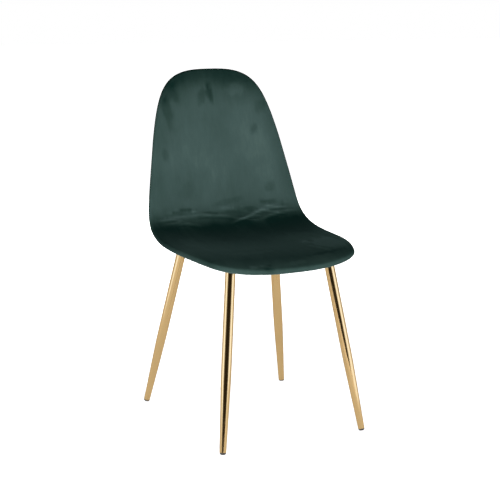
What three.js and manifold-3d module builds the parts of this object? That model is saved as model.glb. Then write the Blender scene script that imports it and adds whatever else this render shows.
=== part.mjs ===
// Upholstered dining chair: a padded one-piece seat and back on four splayed, tapered metal legs.
// Millimetres, +Z up. The floor is z = 0, the sitter faces -Y, and +X is on the sitter's left.
// The origin is on the floor, in the middle of the chair's outer box.

import * as THREE from 'three';
import { NURBSCurve } from 'three/addons/curves/NURBSCurve.js';
import { mergeVertices } from 'three/addons/utils/BufferGeometryUtils.js';
import Module from 'manifold-3d';

const { Vector2, Vector3, Vector4, Matrix4, MathUtils } = THREE;
const wasm = await Module();
wasm.setup();

// ---- Driving dimensions ----

// Shell: control points [y, z] of its middle surface, from the front edge of the seat to the top.
const CENTRE_LINE = [
  [-235, 420], [-197, 427], [-120, 432], [-17, 432], [82, 439],
  [156, 479], [174, 562], [200, 681], [228, 792], [243, 870],
];
// Control values of the shell's half width from front to top, before its ends are rounded
const HALF_WIDTHS = [162, 216, 227, 225, 181, 162, 180];
const FRONT_ROUNDING = { length: 52, power: 2.9 };
const TOP_ROUNDING = { length: 229, power: 2.9 };
const EDGE_LIFT = { height: 20, span: 220, power: 2.4 };

// Padding: the rim is a half round, and both faces swell away from it towards the middle.
const RIM_RADIUS = 6.5;
const SWELL = { front: 12, back: 4.7, reach: 35 };
const SEAM_ANGLE = -40;
const SEAM_HALF_GAP = 2;

// Layers of the shell
const COVER_THICKNESS = 1;
const PLYWOOD_THICKNESS = 8;
const PLYWOOD_MARGIN = 4;
const CLEARANCE = 0.3;

// Legs: `along` is measured on the centre line from the front edge of the seat. `turn` is the way
// that one corner of the plate points, in degrees from straight ahead towards the middle.
const LEGS = {
  front: { mount: { x: 132, along: 70 }, foot: { x: 190, y: -242 }, plateGap: 0.8, turn: 140 },
  rear: { mount: { x: 126, along: 353 }, foot: { x: 203, y: 209 }, plateGap: 0.5, turn: 0 },
};
const TUBE = { radius: 12.25, footRadius: 7.9, wall: 1.5, taper: 180, start: 4.5 };
const PLATE = { thickness: 2.5, holeCircle: 24, cornerRadius: 8, holeRadius: 3.3 };
const GLIDE = { radius: 7.6, stemRadius: 5.9, stemTop: 22, chamfer: 1, dome: 3.2, domeTop: 2.2 };

// M6 fasteners, measured up from the plate's upper face
const BOLT = { radius: 3, length: 20, rootInHead: 0.5 };
const BOLT_HEAD = { radius: 5.25, crownRadius: 3.2, height: 2.2, edge: 0.8 };
const BOLT_SOCKET = { radius: 2.3, depth: 1.3 };
const TEE_NUT = { bore: 3.3, barrel: 4.2, barrelLength: 6.5, flange: 8.5, flangeThickness: 1.2, sunk: 1 };
const COVER_HOLE = 3.6;
const BARREL_HOLE = 4.6;
const FLANGE_RECESS = 8.9;
const POCKET_RISE = 5;
const HOLE_DEPTH = 50;
const COVER_HOLE_RISE = 25;
const BOLTS_PER_LEG = 3;

// Facets: the outline is divided into 2 * HALF_STEPS, and each face into rings inside it.
const HALF_STEPS = 24;
const EDGE_DEPTH = 25;
const REACHES = [0.2, 0.55, 1];
const SPINE = { start: 150, end: 640 };
const ROUND = 16;
const SMALL_ROUND = 8;
const HEXAGON = 6;
const CURVE_DIVISIONS = 2000;
const RIM_DIVISIONS = 600;
const MERGE_DISTANCE = 1e-3;
const FAR = 100;

// ---- Materials ----

const MATERIALS = {
  velvet: { color: 0x3a504c, roughness: 0.9, metalness: 0 },
  foam: { color: 0xd9cfa8, roughness: 0.95, metalness: 0 },
  wadding: { color: 0xe8e6df, roughness: 1, metalness: 0 },
  plywood: { color: 0xc9a574, roughness: 0.7, metalness: 0 },
  gold: { color: 0xc9a66b, roughness: 0.18, metalness: 1 },
  zinc: { color: 0xb8bcc0, roughness: 0.35, metalness: 1 },
  glide: { color: 0x1c1b1a, roughness: 0.6, metalness: 0 },
};

function piece(name, geometry, finish) {
  const mesh = new THREE.Mesh(geometry, new THREE.MeshStandardMaterial(MATERIALS[finish]));
  mesh.name = name;
  return mesh;
}

// ---- Solids ----

function toManifold(geometry) {
  const bare = geometry.clone();
  bare.deleteAttribute('normal');
  bare.deleteAttribute('uv');
  const merged = mergeVertices(bare, MERGE_DISTANCE);
  return new wasm.Manifold(new wasm.Mesh({
    numProp: 3,
    vertProperties: new Float32Array(merged.attributes.position.array),
    triVerts: new Uint32Array(merged.index.array),
  }));
}

function toGeometry(manifold) {
  const mesh = manifold.getMesh();
  const geometry = new THREE.BufferGeometry();
  geometry.setAttribute('position', new THREE.BufferAttribute(mesh.vertProperties, 3));
  geometry.setIndex(new THREE.BufferAttribute(mesh.triVerts, 1));
  geometry.computeVertexNormals();
  return geometry;
}

function cut(geometry, cutters) {
  const subtract = (solid, cutter) => solid.subtract(toManifold(cutter));
  return toGeometry(cutters.reduce(subtract, toManifold(geometry)));
}

// A solid of revolution about Z from [radius, z] points, with its outer side running upwards
function turned(points, segments) {
  const profile = points.map(([radius, z]) => new Vector2(radius, z));
  return new THREE.LatheGeometry(profile, segments).rotateX(Math.PI / 2);
}

function rod(radius, bottom, top, segments) {
  return turned([[0, bottom], [radius, bottom], [radius, top], [0, top]], segments);
}

// ---- Shell surface ----

// Cubic spline with its ends on the first and last control points
function clampedSpline(points) {
  const degree = 3;
  const inner = points.length - degree;
  const knots = [0, 0, 0];
  for (let i = 0; i <= inner; i += 1) {
    knots.push(i / inner);
  }
  knots.push(1, 1, 1);
  return new NURBSCurve(degree, knots, points.map(([a, b]) => new Vector4(0, a, b, 1)));
}

const centreLine = clampedSpline(CENTRE_LINE);
centreLine.arcLengthDivisions = CURVE_DIVISIONS;
const LENGTH = centreLine.getLength();
const sideWidth = clampedSpline(HALF_WIDTHS.map((width) => [width, 0]));

function rounding(distance, { length, power }) {
  const rest = 1 - MathUtils.clamp(distance / length, 0, 1);
  return (1 - rest ** power) ** (1 / power);
}

function halfWidth(along) {
  const ends = rounding(along, FRONT_ROUNDING) * rounding(LENGTH - along, TOP_ROUNDING);
  return sideWidth.getPoint(along / LENGTH).y * ends;
}

// The right half of the shell's outline, laid flat: x across, y along the centre line
class Outline extends THREE.Curve {
  getPoint(t, target = new Vector2()) {
    const along = LENGTH * (1 - Math.cos(Math.PI * t)) / 2;
    return target.set(halfWidth(along), along);
  }
}

const outline = new Outline();
outline.arcLengthDivisions = CURVE_DIVISIONS;
const rimPoints = outline.getSpacedPoints(RIM_DIVISIONS);

function rimDistance(x, along) {
  return Math.min(...rimPoints.map((point) => Math.hypot(Math.abs(x) - point.x, along - point.y)));
}

// A point `height` above the middle surface, towards the sitter
function shellPoint(x, along, height) {
  const t = MathUtils.clamp(along / LENGTH, 0, 1);
  const tangent = centreLine.getTangentAt(t);
  const normal = new Vector3(0, -tangent.z, tangent.y);
  const lift = EDGE_LIFT.height * (Math.abs(x) / EDGE_LIFT.span) ** EDGE_LIFT.power;
  return centreLine.getPointAt(t).addScaledVector(normal, lift + height).setX(x);
}

function swell(depth, side) {
  return (side > 0 ? SWELL.front : -SWELL.back) * (1 - Math.exp(-depth / SWELL.reach));
}

// Height of the padded face on one side (1 front, -1 back), `inset` inside its outer surface
function faceHeight(inset, depth, side) {
  return side * (RIM_RADIUS - inset) + swell(depth, side);
}

// ---- Shell layers, each a stack of rings that starts and ends on the spine ----

const outlineSteps = Array.from({ length: HALF_STEPS + 1 }, (_, step) => {
  const tangent = outline.getTangentAt(step / HALF_STEPS);
  return {
    point: outline.getPointAt(step / HALF_STEPS),
    inward: new Vector2(-tangent.y, tangent.x).normalize(),
    spine: new Vector2(0, MathUtils.lerp(SPINE.start, SPINE.end, step / HALF_STEPS)),
  };
});

function ringPoints({ depth, reach, height }) {
  const half = outlineSteps.map(({ point, inward, spine }) => {
    const place = point.clone().addScaledVector(inward, depth).lerp(spine, reach);
    const distance = reach > 0 ? rimDistance(place.x, place.y) : depth;
    return shellPoint(place.x, place.y, height(distance));
  });
  const mirrored = half.slice(1, -1).reverse().map((point) => point.clone().setX(-point.x));
  half[0].setX(0);
  half[HALF_STEPS].setX(0);
  return [...half, ...mirrored];
}

function layer(rings) {
  const geometry = new THREE.BufferGeometry().setFromPoints(rings.flatMap(ringPoints));
  const count = 2 * HALF_STEPS;
  const inwardness = ({ depth, reach }) => depth + EDGE_DEPTH * reach;
  const triangles = [];
  for (let ring = 0; ring < rings.length - 1; ring += 1) {
    const goesIn = inwardness(rings[ring + 1]) > inwardness(rings[ring]);
    for (let step = 0; step < count; step += 1) {
      const a = ring * count + step;
      const b = ring * count + (step + 1) % count;
      const c = b + count;
      const d = a + count;
      // Neighbouring layers share their diagonals, and the left half mirrors the right
      const quad = goesIn === (step >= HALF_STEPS) ? [a, d, c, a, c, b] : [a, d, b, b, d, c];
      triangles.push(...quad);
    }
  }
  geometry.setIndex(triangles);
  return mergeVertices(geometry, MERGE_DISTANCE);
}

function rimRing(inset, degrees) {
  const angle = MathUtils.degToRad(degrees);
  const radius = RIM_RADIUS - inset;
  const depth = RIM_RADIUS - radius * Math.cos(angle);
  return { depth, reach: 0, height: () => radius * Math.sin(angle) + swell(depth, Math.sign(degrees)) };
}

// Rings over a whole face, from EDGE_DEPTH inside the outline to the spine
function faceRings(heightAt) {
  return [0, ...REACHES].map((reach) => ({ depth: EDGE_DEPTH, reach, height: heightAt }));
}

function paddedRings(inset, side) {
  return faceRings((depth) => faceHeight(inset, depth, side));
}

function flatRings(height) {
  return [{ depth: PLYWOOD_MARGIN, reach: 0, height: () => height }, ...faceRings(() => height)];
}

function plywoodShape() {
  const half = PLYWOOD_THICKNESS / 2;
  return layer([...flatRings(half).reverse(), ...flatRings(-half)]);
}

const FOAM_INSET = COVER_THICKNESS + CLEARANCE;
const FOAM_REACH = (RIM_RADIUS - PLYWOOD_MARGIN) / (RIM_RADIUS - FOAM_INSET);
const FOAM_EDGE = MathUtils.radToDeg(Math.acos(FOAM_REACH));

function foamShape(side) {
  const inner = flatRings(side * (PLYWOOD_THICKNESS / 2 + CLEARANCE));
  const rim = [FOAM_EDGE, 90].map((angle) => rimRing(FOAM_INSET, side * angle));
  const outer = [...rim, ...paddedRings(FOAM_INSET, side)];
  return layer(side > 0 ? [...outer.reverse(), ...inner] : [...inner.reverse(), ...outer]);
}

// A cover starts at the seam round the back of the rim
function coverShape(side, rimAngles) {
  const seam = SEAM_ANGLE + side * SEAM_HALF_GAP;
  const rim = (inset) => [seam, ...rimAngles].map((angle) => rimRing(inset, angle));
  const skin = (inset) => [...rim(inset), ...paddedRings(inset, side)];
  const outer = skin(0);
  const inner = skin(COVER_THICKNESS);
  return layer(side > 0 ? [...outer.reverse(), ...inner] : [...inner.reverse(), ...outer]);
}

// ---- Legs ----

function underside(x, along) {
  return shellPoint(x, along, faceHeight(0, rimDistance(x, along), -1));
}

// Frame of a mounting plate: z = 0 is its upper face, +Z goes into the shell, and +Y points at
// its first corner
function plateFrame({ mount, plateGap, turn }, side) {
  const x = side * mount.x;
  const forward = underside(x, mount.along - 1).sub(underside(x, mount.along + 1)).normalize();
  const across = underside(x + 1, mount.along).sub(underside(x - 1, mount.along));
  const up = new Vector3().crossVectors(forward, across).normalize();
  const y = forward.applyAxisAngle(up, -side * MathUtils.degToRad(turn));
  const origin = underside(x, mount.along).addScaledVector(up, -plateGap);
  return new Matrix4().makeBasis(new Vector3().crossVectors(y, up), y, up).setPosition(origin);
}

// Frame of a leg: its origin is on the floor and +Z runs up the tube to the plate
function legFrame({ foot }, side, plate) {
  const floorPoint = new Vector3(side * foot.x, foot.y, 0);
  const direction = new Vector3().setFromMatrixPosition(plate).sub(floorPoint).normalize();
  const turn = new THREE.Quaternion().setFromUnitVectors(new Vector3(0, 0, 1), direction);
  return new Matrix4().compose(floorPoint, turn, new Vector3(1, 1, 1));
}

function holePlaces() {
  return Array.from({ length: BOLTS_PER_LEG }, (_, index) => {
    const angle = Math.PI / 2 + 2 * Math.PI * index / BOLTS_PER_LEG;
    return new Vector3(Math.cos(angle), Math.sin(angle), 0).multiplyScalar(PLATE.holeCircle);
  });
}

function plateShape() {
  const shape = new THREE.Shape();
  const halfTurn = Math.PI / BOLTS_PER_LEG;
  for (const place of holePlaces()) {
    const angle = Math.atan2(place.y, place.x);
    shape.absarc(place.x, place.y, PLATE.cornerRadius, angle - halfTurn, angle + halfTurn);
    const hole = new THREE.Path();
    hole.absarc(place.x, place.y, PLATE.holeRadius, 0, 2 * Math.PI);
    shape.holes.push(hole);
  }
  shape.closePath();
  const settings = { depth: PLATE.thickness, bevelEnabled: false, curveSegments: SMALL_ROUND / 2 };
  return new THREE.ExtrudeGeometry(shape, settings).translate(0, 0, -PLATE.thickness);
}

function tubeShape(leg, plate) {
  const { radius, footRadius, wall, taper, start } = TUBE;
  const top = new Vector3().setFromMatrixPosition(leg).distanceTo(new Vector3().setFromMatrixPosition(plate))
    + radius;
  const blank = turned([
    [footRadius - wall, start], [footRadius, start], [radius, taper], [radius, top],
    [radius - wall, top], [radius - wall, taper], [footRadius - wall, start],
  ], ROUND);
  const block = new THREE.BoxGeometry(FAR, FAR, FAR)
    .translate(0, 0, FAR / 2 - PLATE.thickness - CLEARANCE)
    .applyMatrix4(leg.clone().invert().multiply(plate));
  return cut(blank, [block]);
}

// A plug in the tube's end with a domed sole, cut flat where it stands on the floor
function glideShape(leg) {
  const { radius, stemRadius, stemTop, chamfer, dome, domeTop } = GLIDE;
  const soleSteps = 4;
  const sole = Array.from({ length: soleSteps + 1 }, (_, step) => {
    const angle = Math.PI / 2 * step / soleSteps;
    return [radius * Math.sin(angle), domeTop - dome * Math.cos(angle)];
  });
  const shoulder = TUBE.start - CLEARANCE;
  const blank = turned([
    ...sole, [radius, shoulder], [stemRadius, shoulder], [stemRadius, stemTop - chamfer],
    [stemRadius - chamfer, stemTop], [0, stemTop],
  ], ROUND);
  const floor = new THREE.BoxGeometry(FAR, FAR, FAR)
    .applyMatrix4(new Matrix4().makeTranslation(new Vector3().setFromMatrixPosition(leg)))
    .translate(0, 0, -FAR / 2)
    .applyMatrix4(leg.clone().invert());
  return cut(blank, [floor]);
}

// ---- Fasteners, in the plate's frame ----

// A low button head with a hexagon socket, and its shank
function boltShape() {
  const { radius, crownRadius, height, edge } = BOLT_HEAD;
  const headTop = -PLATE.thickness - CLEARANCE;
  const crown = headTop - height;
  const profile = [[0, crown], [crownRadius, crown], [radius, headTop - edge], [radius, headTop], [0, headTop]];
  const head = toManifold(turned(profile, ROUND));
  const shank = toManifold(rod(BOLT.radius, headTop - BOLT.rootInHead, headTop + BOLT.length, SMALL_ROUND));
  const socket = toManifold(rod(BOLT_SOCKET.radius, crown - CLEARANCE, crown + BOLT_SOCKET.depth, HEXAGON));
  return toGeometry(head.add(shank).subtract(socket));
}

// The flange is sunk into the plywood's front face
function teeNutTop({ mount, plateGap }) {
  const plywoodMiddle = plateGap - faceHeight(0, rimDistance(mount.x, mount.along), -1);
  return plywoodMiddle + PLYWOOD_THICKNESS / 2 - TEE_NUT.sunk;
}

function teeNutShape(top) {
  const { bore, barrel, barrelLength, flange, flangeThickness } = TEE_NUT;
  const neck = top - flangeThickness;
  const bottom = neck - barrelLength;
  return turned([
    [bore, bottom], [barrel, bottom], [barrel, neck], [flange, neck],
    [flange, top], [bore, top], [bore, bottom],
  ], SMALL_ROUND);
}

// ---- Assembly ----

const group = new THREE.Group();
const holes = { cover: [], barrel: [], recess: [] };

for (const [end, leg] of Object.entries(LEGS)) {
  for (const [hand, side] of [['left', 1], ['right', -1]]) {
    const name = `${end}_${hand}`;
    const plate = plateFrame(leg, side);
    const stand = legFrame(leg, side, plate);

    const plateGroup = new THREE.Group();
    plate.decompose(plateGroup.position, plateGroup.quaternion, plateGroup.scale);
    plateGroup.add(piece(`leg_plate_${name}`, plateShape(), 'gold'));
    const legGroup = new THREE.Group();
    stand.decompose(legGroup.position, legGroup.quaternion, legGroup.scale);
    legGroup.add(piece(`leg_tube_${name}`, tubeShape(stand, plate), 'gold'));
    legGroup.add(piece(`foot_glide_${name}`, glideShape(stand), 'glide'));
    group.add(plateGroup, legGroup);

    const nutTop = teeNutTop(leg);
    const recessFloor = nutTop - TEE_NUT.flangeThickness - CLEARANCE;
    holePlaces().forEach((place, index) => {
      const fasteners = new THREE.Group();
      fasteners.position.copy(place);
      fasteners.add(piece(`bolt_${name}_${index + 1}`, boltShape(), 'zinc'));
      fasteners.add(piece(`tee_nut_${name}_${index + 1}`, teeNutShape(nutTop), 'zinc'));
      plateGroup.add(fasteners);

      const atHole = (shape) => shape.translate(place.x, place.y, place.z).applyMatrix4(plate);
      holes.cover.push(atHole(rod(COVER_HOLE, -HOLE_DEPTH, COVER_HOLE_RISE, SMALL_ROUND)));
      holes.barrel.push(atHole(rod(BARREL_HOLE, -HOLE_DEPTH, recessFloor + CLEARANCE, SMALL_ROUND)));
      holes.recess.push(atHole(rod(FLANGE_RECESS, recessFloor, nutTop + POCKET_RISE, SMALL_ROUND)));
    });
  }
}

group.add(piece('inner_shell', cut(plywoodShape(), [...holes.barrel, ...holes.recess]), 'plywood'));
group.add(piece('front_foam', cut(foamShape(1), holes.recess), 'foam'));
group.add(piece('rear_foam', cut(foamShape(-1), holes.barrel), 'wadding'));
group.add(piece('front_cover', coverShape(1, [0, FOAM_EDGE, 90]), 'velvet'));
group.add(piece('rear_cover', cut(coverShape(-1, [-FOAM_EDGE, -90]), holes.cover), 'velvet'));

export default group;
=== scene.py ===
"""Upholstered dining chair: a padded one-piece seat and back on four splayed, tapered gold legs.

Metres, +Z up. The floor is z = 0, the sitter faces -Y, and +X is on the sitter's left. Each CAD node is
replaced by a finer piece in the same place, made from the same driving dimensions and formulas as the CAD
model. The weld beads are the only pieces that the CAD model doesn't have.
"""

import math
from collections import namedtuple

import bmesh
import bpy
import numpy as np
from mathutils import Matrix, Vector, noise


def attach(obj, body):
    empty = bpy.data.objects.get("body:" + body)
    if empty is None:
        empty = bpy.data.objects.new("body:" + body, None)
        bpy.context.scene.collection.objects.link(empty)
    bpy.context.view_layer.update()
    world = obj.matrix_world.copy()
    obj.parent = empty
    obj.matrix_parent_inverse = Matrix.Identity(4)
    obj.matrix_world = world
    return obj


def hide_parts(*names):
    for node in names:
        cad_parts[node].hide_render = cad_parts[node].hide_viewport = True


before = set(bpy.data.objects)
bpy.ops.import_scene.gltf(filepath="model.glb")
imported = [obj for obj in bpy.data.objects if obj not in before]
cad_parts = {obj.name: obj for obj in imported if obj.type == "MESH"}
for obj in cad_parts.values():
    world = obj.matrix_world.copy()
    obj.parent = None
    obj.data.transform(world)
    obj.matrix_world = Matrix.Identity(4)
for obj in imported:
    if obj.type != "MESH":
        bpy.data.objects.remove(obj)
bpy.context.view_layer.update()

# ---- Shell dimensions, as in the CAD model ----

# Control points (y, z) of the shell's middle surface, from the front edge of the seat to the top
CENTRE_LINE = [
    (-0.235, 0.420), (-0.197, 0.427), (-0.120, 0.432), (-0.017, 0.432), (0.082, 0.439),
    (0.156, 0.479), (0.174, 0.562), (0.200, 0.681), (0.228, 0.792), (0.243, 0.870),
]
# Control values of the half width between the rounded ends, from front to top
HALF_WIDTHS = [0.162, 0.216, 0.227, 0.225, 0.181, 0.162, 0.180]
Rounding = namedtuple("Rounding", "length power")
FRONT_ROUNDING = Rounding(0.052, 2.9)
TOP_ROUNDING = Rounding(0.229, 2.9)
EDGE_LIFT_HEIGHT = 0.020
EDGE_LIFT_SPAN = 0.220
EDGE_LIFT_POWER = 2.4

RIM_RADIUS = 0.0065
SWELL_FRONT = 0.012
SWELL_BACK = 0.0047
SWELL_REACH = 0.035
SEAM_ANGLE = -40
SEAM_HALF_GAP = 1.0
COVER_THICKNESS = 0.001
CLEARANCE = 0.0003
PLYWOOD_THICKNESS = 0.008
PLYWOOD_MARGIN = 0.004
FOAM_INSET = COVER_THICKNESS + CLEARANCE
EDGE_DEPTH = 0.025
SPINE_START = 0.150
SPINE_END = 0.640

FRONT = 1
BACK = -1
# How finely the layers are divided: steps along half the outline, and rings from the outline to the spine
HALF_STEPS = 112
EDGE_RINGS = 6
FACE_RINGS = 34
LAST_REACH = 0.975
FOAM_RIM_RINGS = 4
CURVE_SAMPLES = 4001
RIM_SAMPLES = 801

# ---- Curves ----


def clamped_spline(points):
    """Cubic B-spline from its first to its last control point, as a function of 0..1."""
    degree = 3
    points = np.array(points, float)
    inner = len(points) - degree
    knots = np.concatenate([np.zeros(degree), np.linspace(0, 1, inner + 1), np.ones(degree)])

    def at(t):
        t = np.clip(np.asarray(t, float), 0, np.nextafter(1, 0))[..., None]
        basis = ((knots[:-1] <= t) & (t < knots[1:])).astype(float)
        for order in range(1, degree + 1):
            count = len(knots) - 1 - order
            left = knots[order:order + count] - knots[:count]
            right = knots[order + 1:order + 1 + count] - knots[1:1 + count]
            shape = t.shape[:-1] + (count,)
            rising = np.divide(t - knots[:count], left, out=np.zeros(shape), where=left > 0)
            falling = np.divide(knots[order + 1:] - t, right, out=np.zeros(shape), where=right > 0)
            basis = rising * basis[..., :count] + falling * basis[..., 1:count + 1]
        return basis @ points

    return at


class Path:
    """A curve of points that is looked up by the distance along it."""

    def __init__(self, points):
        self.points = points
        self.places = np.concatenate([[0], np.cumsum(np.linalg.norm(np.diff(points, axis=0), axis=1))])
        self.length = self.places[-1]
        tangents = np.gradient(points, self.places, axis=0)
        self.tangents = tangents / np.linalg.norm(tangents, axis=1)[:, None]

    def _read(self, table, distance):
        return np.stack([np.interp(distance, self.places, column) for column in table.T], -1)

    def point(self, distance):
        return self._read(self.points, distance)

    def tangent(self, distance):
        return self._read(self.tangents, distance)


SAMPLES = np.linspace(0, 1, CURVE_SAMPLES)
centre_line = Path(clamped_spline(CENTRE_LINE)(SAMPLES))
LENGTH = centre_line.length
side_width = clamped_spline([(width,) for width in HALF_WIDTHS])


def rounding(distance, shape):
    rest = 1 - np.clip(distance / shape.length, 0, 1)
    return (1 - rest ** shape.power) ** (1 / shape.power)


def half_width(along):
    ends = rounding(along, FRONT_ROUNDING) * rounding(LENGTH - along, TOP_ROUNDING)
    return side_width(along / LENGTH)[..., 0] * ends


def smooth(value, low, high):
    """0 below low, 1 above high and an S-curve between them."""
    t = np.clip((value - low) / (high - low), 0, 1)
    return t * t * (3 - 2 * t)


# ---- Shell surface ----

outline_along = LENGTH * (1 - np.cos(math.pi * SAMPLES)) / 2
outline = Path(np.stack([half_width(outline_along), outline_along], -1))
RIM_POINTS = outline.point(np.linspace(0, outline.length, RIM_SAMPLES))


def rim_distance(places):
    """Distance on the flat cloth from each (x, along) to the outline."""
    mirrored = np.stack([np.abs(places[..., 0]), places[..., 1]], -1)
    return np.linalg.norm(mirrored[..., None, :] - RIM_POINTS, axis=-1).min(-1)


def shell_point(places, height):
    """Points above the middle surface, towards the sitter, over places (x, along)."""
    x, along = places[..., 0], places[..., 1]
    centre = centre_line.point(along)
    tangent = centre_line.tangent(along)
    lift = EDGE_LIFT_HEIGHT * (np.abs(x) / EDGE_LIFT_SPAN) ** EDGE_LIFT_POWER + height
    return np.stack([x, centre[..., 0] - tangent[..., 1] * lift, centre[..., 1] + tangent[..., 0] * lift], -1)


def swell(depth, side):
    """How far the padding stands out, this deep inside the outline."""
    return (SWELL_FRONT if side == FRONT else -SWELL_BACK) * (1 - np.exp(-depth / SWELL_REACH))


# ---- Rings: each shell layer is a stack of them ----

# A ring's depth inside the outline, its reach from there in parts of the way to the spine, and its height over
# the middle surface, worked out from the distance to the outline
Ring = namedtuple("Ring", "depth reach height")


def rim_ring(inset, degrees):
    """A ring on the half-round rim. 90 is its front edge and -90 its back edge."""
    radius = RIM_RADIUS - inset
    depth = RIM_RADIUS - radius * math.cos(math.radians(degrees))
    side = FRONT if degrees > 0 else BACK
    return Ring(depth, 0, lambda distance: radius * math.sin(math.radians(degrees)) + swell(depth, side))


def face_rings(start, height):
    """Rings over a whole face, from the depth of its first ring to the spine."""
    edge = [Ring(depth, 0, height) for depth in np.linspace(start, EDGE_DEPTH, EDGE_RINGS)[1:]]
    return edge + [Ring(EDGE_DEPTH, reach, height) for reach in np.linspace(0, LAST_REACH, FACE_RINGS)[1:]]


def padded_face(inset, side):
    return face_rings(RIM_RADIUS, lambda distance: side * (RIM_RADIUS - inset) + swell(distance, side))


def flat_face(height):
    first = Ring(PLYWOOD_MARGIN, 0, lambda distance: height)
    return [first] + face_rings(PLYWOOD_MARGIN, lambda distance: height)


def outline_steps():
    """Points of the outline's right half, the ways in from them and the places they reach on the spine."""
    distances = np.linspace(0, outline.length, HALF_STEPS + 1)
    tangents = outline.tangent(distances)
    inward = np.stack([-tangents[:, 1], tangents[:, 0]], -1)
    spine = np.stack([np.zeros(HALF_STEPS + 1), np.linspace(SPINE_START, SPINE_END, HALF_STEPS + 1)], -1)
    return outline.point(distances), inward, spine


def ring_points(ring):
    """Points of one ring and their places (x, along) on the flat cloth."""
    edge, inward, spine = outline_steps()
    places = edge + inward * ring.depth
    places += (spine - places) * ring.reach
    places[[0, -1], 0] = 0
    distance = rim_distance(places) if ring.reach > 0 else np.full(HALF_STEPS + 1, ring.depth)
    half = shell_point(places, ring.height(distance))
    mirror = slice(HALF_STEPS - 1, 0, -1)
    points = np.concatenate([half, half[mirror] * [-1, 1, 1]])
    return points, np.concatenate([places, places[mirror] * [-1, 1]])


def ring_faces(count):
    steps = 2 * HALF_STEPS
    faces = []
    for ring in range(count - 1):
        for step in range(steps):
            a = ring * steps + step
            b = ring * steps + (step + 1) % steps
            faces.append((a, b, b + steps, a + steps))
    return faces


def slot_faces(first):
    """Closes the slot along the spine inside the ring that starts at vertex `first`."""
    middle = first + HALF_STEPS
    last = first + 2 * HALF_STEPS
    ends = [(first, first + 1, last - 1), (middle - 1, middle, middle + 1)]
    across = []
    for step in range(1, HALF_STEPS - 1):
        across.append((first + step, first + step + 1, last - step - 1, last - step))
    return ends + across


def linked(name, data):
    """A new object in the scene."""
    made = bpy.data.objects.new(name, data)
    bpy.context.scene.collection.objects.link(made)
    return made


def new_object(name, points, faces):
    """A new smooth-shaded mesh in the scene."""
    mesh = bpy.data.meshes.new(name)
    mesh.from_pydata([tuple(point) for point in points], [], faces)
    mesh.validate()
    mesh.shade_smooth()
    return linked(name, mesh)


def evaluated(piece):
    """The piece with its modifiers applied."""
    return piece.evaluated_get(bpy.context.evaluated_depsgraph_get())


def skin(name, rings, side):
    """One open sheet from the seam over the rim and a whole face."""
    points, places = map(np.concatenate, zip(*[ring_points(ring) for ring in rings]))
    faces = ring_faces(len(rings)) + slot_faces((len(rings) - 1) * 2 * HALF_STEPS)
    if side == BACK:
        faces = [face[::-1] for face in faces]
    return new_object(name, points, faces), places


def solid(name, rings):
    """A closed layer whose rings go from the spine out over the front and back in behind."""
    points = np.concatenate([ring_points(ring)[0] for ring in rings])
    last = (len(rings) - 1) * 2 * HALF_STEPS
    faces = [face[::-1] for face in ring_faces(len(rings))] + slot_faces(0)
    faces += [face[::-1] for face in slot_faces(last)]
    return new_object(name, points, faces)


# ---- Hidden layers of the shell ----


def plywood_shell():
    half = PLYWOOD_THICKNESS / 2
    return solid("plywood_shell", flat_face(half)[::-1] + flat_face(-half))


def foam_layer(name, side):
    inner = flat_face(side * (PLYWOOD_THICKNESS / 2 + CLEARANCE))
    edge = math.degrees(math.acos((RIM_RADIUS - PLYWOOD_MARGIN) / (RIM_RADIUS - FOAM_INSET)))
    rim = [rim_ring(FOAM_INSET, side * angle) for angle in np.linspace(edge, 90, FOAM_RIM_RINGS)]
    outer = rim + padded_face(FOAM_INSET, side)
    rings = outer[::-1] + inner if side == FRONT else inner[::-1] + outer
    return solid(name, rings)


# ---- Covers ----

TUCK_DEPTH = 0.0016
TUCK_TURN = 14
TUCK_RINGS = 5
RIM_RINGS = {FRONT: 12, BACK: 5}
FINE_LEVELS = 1


def seam_tuck(side):
    """Rings that roll the cover's edge into the seam."""
    start = SEAM_ANGLE + side * SEAM_HALF_GAP
    rings = []
    for turn in np.linspace(0, math.pi / 2, TUCK_RINGS):
        inset = TUCK_DEPTH * (1 - math.sin(turn))
        rings.append(rim_ring(inset, start + side * TUCK_TURN * (1 - math.cos(turn))))
    return rings


def cover_skin(name, side):
    """The sheet of one cover, lying on its padding, and the places of its points on the flat cloth."""
    first = SEAM_ANGLE + side * (SEAM_HALF_GAP + TUCK_TURN)
    rim = [rim_ring(0, angle) for angle in np.linspace(first, side * 90, RIM_RINGS[side])[1:]]
    return skin(name, seam_tuck(side) + rim + padded_face(0, side), side)


def vertex_group(piece, name, weights):
    """Gives each vertex its weight in a new group."""
    group = piece.vertex_groups.new(name=name)
    for index in np.flatnonzero(weights > 0):
        group.add([int(index)], float(weights[index]), "REPLACE")


def coordinates(mesh):
    points = np.empty(3 * len(mesh.vertices))
    mesh.vertices.foreach_get("co", points)
    return points.reshape(-1, 3)


def set_coordinates(mesh, points):
    mesh.vertices.foreach_set("co", points.ravel())
    mesh.update()


# Smooth noise over the flat cloth: its size, its fineness across and along the cloth, and its seed
Ripple = namedtuple("Ripple", "size across along seed")


def wander(places, ripples):
    """The sum of some ripples at (x, along) places."""
    total = np.zeros(len(places))
    for ripple in ripples:
        scaled = places * [ripple.across, ripple.along]
        total += ripple.size * np.array([noise.noise(Vector((*place, ripple.seed))) for place in scaled])
    return total


# ---- Slack of the covers ----

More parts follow.
